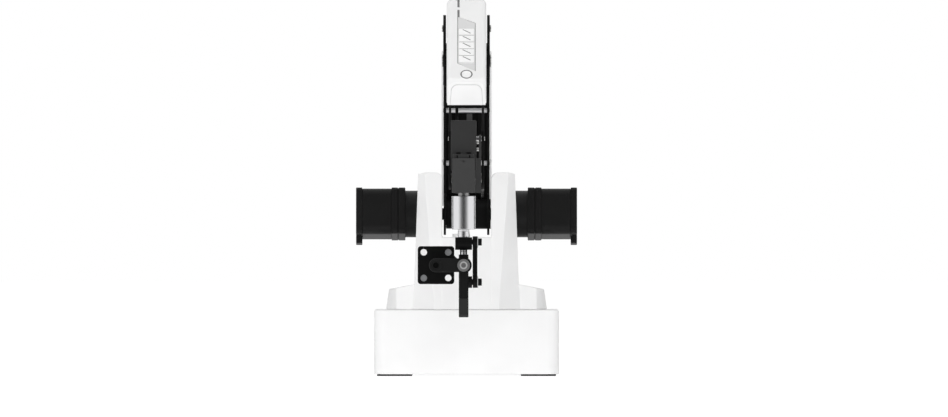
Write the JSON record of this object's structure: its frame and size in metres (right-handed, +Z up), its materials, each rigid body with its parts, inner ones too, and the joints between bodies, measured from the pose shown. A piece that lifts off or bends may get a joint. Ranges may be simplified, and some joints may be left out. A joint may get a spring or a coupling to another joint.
{
  "type": "robot arm",
  "caption": "Desktop robot arm on a square base with a turning turret, parallel level links, a servo wrist and a linked-jaw air gripper.",
  "frame": {"origin": "on the table, under the middle of the base, at the centre of its four mounting holes", "axes": "+Z up, -Y is the way the arm reaches, +X to the right seen from the front"},
  "size_m": [0.1894, 0.3044, 0.3228],
  "materials": {
    "white_abs": "moulded ABS, fine satin",
    "pale_cover": "moulded ABS, light grey satin",
    "black_metal": "black anodised or painted sheet, satin",
    "black_plastic": "moulded black plastic, satin",
    "motor_black": "black painted motor case",
    "bright_screw": "bright plated screw",
    "steel": "turned steel",
    "silver": "turned aluminium",
    "cylinder_grey": "drawn anodised aluminium",
    "rubber": "black rubber",
    "socket_white": "moulded nylon, white",
    "board": "circuit board"
  },
  "bodies": {
    "base": {"base_shell": "white_abs", "base_plate": "black_metal", "foot_pads": "rubber", "rear_panel": "black_plastic", "rear_ports": "black_plastic", "control_board": "board", "yaw_motor": "motor_black", "yaw_gearbox": "steel", "slew_ring": "steel"},
    "power_button": {"power_button": "black_plastic"},
    "turret": {"turntable": "silver", "turret_shell": "white_abs", "anchor_bracket": "black_metal", "left_gearbox": "motor_black", "left_motor": "motor_black", "left_motor_cap": "black_plastic", "right_gearbox": "motor_black", "right_motor": "motor_black", "right_motor_cap": "black_plastic"},
    "rear_arm": {"rear_arm_plate_left": "black_metal", "rear_arm_plate_right": "black_metal", "rear_arm_cover": "white_abs", "rear_arm_spacers": "silver", "elbow_caps": "black_metal", "elbow_screws": "bright_screw", "elbow_shaft": "steel", "shoulder_shaft": "steel"},
    "elbow_triangle": {"elbow_triangle": "black_metal"},
    "level_link_rear": {"level_link_rear": "black_metal"},
    "level_link_front": {"level_link_front": "black_metal"},
    "forearm_crank": {"forearm_crank": "black_metal"},
    "crank_bush": {"crank_bush": "steel"},
    "drive_rod": {"drive_rod": "black_metal"},
    "forearm": {"forearm_plate_left": "black_metal", "forearm_plate_right": "black_metal", "forearm_cover": "pale_cover", "connector_sockets": "socket_white", "forearm_spacers": "silver", "wrist_axle": "bright_screw", "drive_pin": "steel"},
    "unlock_button": {"unlock_button": "pale_cover"},
    "wrist_bracket": {"wrist_bracket": "black_metal", "servo": "black_plastic", "servo_screws": "bright_screw"},
    "tool": {"tool_coupling": "black_metal", "lock_ring": "black_metal", "clamp_sleeve": "silver", "gripper_hub": "black_metal", "hub_bolts": "black_metal"},
    "front_link": {"front_link": "black_metal"},
    "rear_link": {"rear_link": "black_metal"},
    "front_jaw": {"front_jaw": "black_metal", "front_jaw_bolt": "steel", "crosshead": "black_metal", "piston_rod": "steel"},
    "rear_jaw": {"rear_jaw": "black_metal", "rear_jaw_bolt": "steel", "air_cylinder": "cylinder_grey", "cylinder_plate": "black_metal"}
  },
  "joints": [
    {"name": "turret_turn", "type": "hinge", "parent": "base", "child": "turret", "pos_m": [0, 0, 0.0565], "axis": [0, 0, 1], "range_deg": [-90, 90]},
    {"name": "shoulder_swing", "type": "hinge", "parent": "turret", "child": "rear_arm", "pos_m": [0, 0, 0.1383], "axis": [1, 0, 0], "range_deg": [0, 85]},
    {"name": "crank_turn", "type": "hinge", "parent": "turret", "child": "forearm_crank", "pos_m": [0, 0, 0.1383], "axis": [1, 0, 0], "range_deg": [-52, 15]},
    {"name": "bush_turn", "type": "hinge", "parent": "forearm_crank", "child": "crank_bush", "pos_m": [0, 0.0226, 0.1536], "axis": [1, 0, 0], "range_deg": [-15, 52]},
    {"name": "rod_turn", "type": "hinge", "parent": "crank_bush", "child": "drive_rod", "pos_m": [0, 0.0226, 0.1536], "axis": [1, 0, 0], "range_deg": [0, 85]},
    {"name": "level_rear_turn", "type": "hinge", "parent": "turret", "child": "level_link_rear", "pos_m": [0, 0.0127, 0.1628], "axis": [1, 0, 0], "range_deg": [0, 85]},
    {"name": "triangle_turn", "type": "hinge", "parent": "rear_arm", "child": "elbow_triangle", "pos_m": [0, 0.00241, 0.27892], "axis": [1, 0, 0], "range_deg": [-85, 0]},
    {"name": "forearm_lift", "type": "hinge", "parent": "elbow_triangle", "child": "forearm", "pos_m": [0, 0.00241, 0.27892], "axis": [1, 0, 0], "range_deg": [-52, 15]},
    {"name": "level_front_turn", "type": "hinge", "parent": "elbow_triangle", "child": "level_link_front", "pos_m": [0, -0.03039, 0.30682], "axis": [1, 0, 0], "range_deg": [-52, 15]},
    {"name": "wrist_turn", "type": "hinge", "parent": "forearm", "child": "wrist_bracket", "pos_m": [0, -0.11836, 0.16918], "axis": [1, 0, 0], "range_deg": [-15, 52]},
    {"name": "tool_turn", "type": "hinge", "parent": "wrist_bracket", "child": "tool", "pos_m": [-0.0024, -0.17956, 0.17518], "axis": [0, 0, 1], "range_deg": [-90, 90]},
    {"name": "grip_open", "type": "hinge", "parent": "tool", "child": "front_link", "pos_m": [0.00725, -0.18706, 0.11458], "axis": [-1, 0, 0], "range_deg": [-2.5, 21]},
    {"name": "rear_link_turn", "type": "hinge", "parent": "tool", "child": "rear_link", "pos_m": [0.00725, -0.17206, 0.11458], "axis": [-1, 0, 0], "range_deg": [-21, 2.5]},
    {"name": "front_jaw_turn", "type": "hinge", "parent": "front_link", "child": "front_jaw", "pos_m": [0.00725, -0.19126, 0.08058], "axis": [-1, 0, 0], "range_deg": [-21, 2.5]},
    {"name": "rear_jaw_turn", "type": "hinge", "parent": "rear_link", "child": "rear_jaw", "pos_m": [0.00725, -0.16786, 0.08058], "axis": [-1, 0, 0], "range_deg": [-2.5, 21]},
    {"name": "unlock_press", "type": "slide", "parent": "forearm", "child": "unlock_button", "axis": [0, 0.7071, -0.7071], "range_m": [0, 0.0007], "stiffness_N_per_m": 600},
    {"name": "power_press", "type": "slide", "parent": "base", "child": "power_button", "axis": [0, -1, 0], "range_m": [0, 0.0015], "stiffness_N_per_m": 600}
  ],
  "couplings": [
    {"joint": "crank_turn", "follows": "forearm_lift", "ratio": 1},
    {"joint": "bush_turn", "follows": "forearm_lift", "ratio": -1},
    {"joint": "rod_turn", "follows": "shoulder_swing", "ratio": 1},
    {"joint": "level_rear_turn", "follows": "shoulder_swing", "ratio": 1},
    {"joint": "triangle_turn", "follows": "shoulder_swing", "ratio": -1},
    {"joint": "level_front_turn", "follows": "forearm_lift", "ratio": 1},
    {"joint": "wrist_turn", "follows": "forearm_lift", "ratio": -1},
    {"joint": "rear_link_turn", "follows": "grip_open", "ratio": -1},
    {"joint": "front_jaw_turn", "follows": "grip_open", "ratio": -1},
    {"joint": "rear_jaw_turn", "follows": "grip_open", "ratio": 1}
  ]
}
